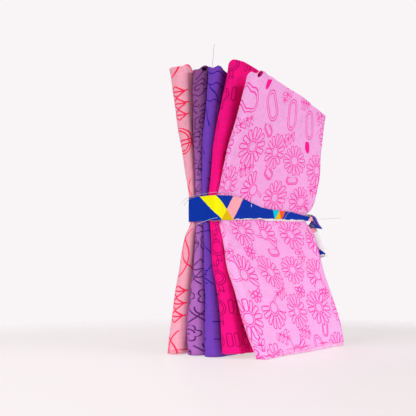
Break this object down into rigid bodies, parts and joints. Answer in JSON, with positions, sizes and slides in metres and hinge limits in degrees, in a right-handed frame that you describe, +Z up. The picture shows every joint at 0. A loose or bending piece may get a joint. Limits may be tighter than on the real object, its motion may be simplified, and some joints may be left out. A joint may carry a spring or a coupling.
{
  "type": "fat quarter bundle",
  "caption": "Stack of folded quilting cotton pieces that stands on its cut edges, tied round the waist with a torn cloth strip that is knotted at one side.",
  "frame": {"origin": "Centre of the bundle's box, on the surface that the cut edges stand on.", "axes": "+Z up; +X from the folded spines to the loose leaf edges and the knot; +Y through the stack, from the light pink front piece to the peach back piece."},
  "size_m": [0.1576, 0.0874, 0.2294],
  "materials": {
    "peach_cotton": "plain weave cotton with a line print",
    "lilac_cotton": "plain weave cotton with a line print",
    "violet_cotton": "plain weave cotton with a line print",
    "hot_pink_cotton": "plain weave cotton with a line print",
    "light_pink_cotton": "plain weave cotton with a line print",
    "blue_cotton": "torn strip of plain weave cotton with crossing bands"
  },
  "bodies": {
    "root": {"fat_quarter_peach": "peach_cotton", "fat_quarter_lilac": "lilac_cotton", "fat_quarter_violet": "violet_cotton", "fat_quarter_hot_pink": "hot_pink_cotton", "fat_quarter_light_pink": "light_pink_cotton", "tie_strip": "blue_cotton"}
  },
  "joints": []
}
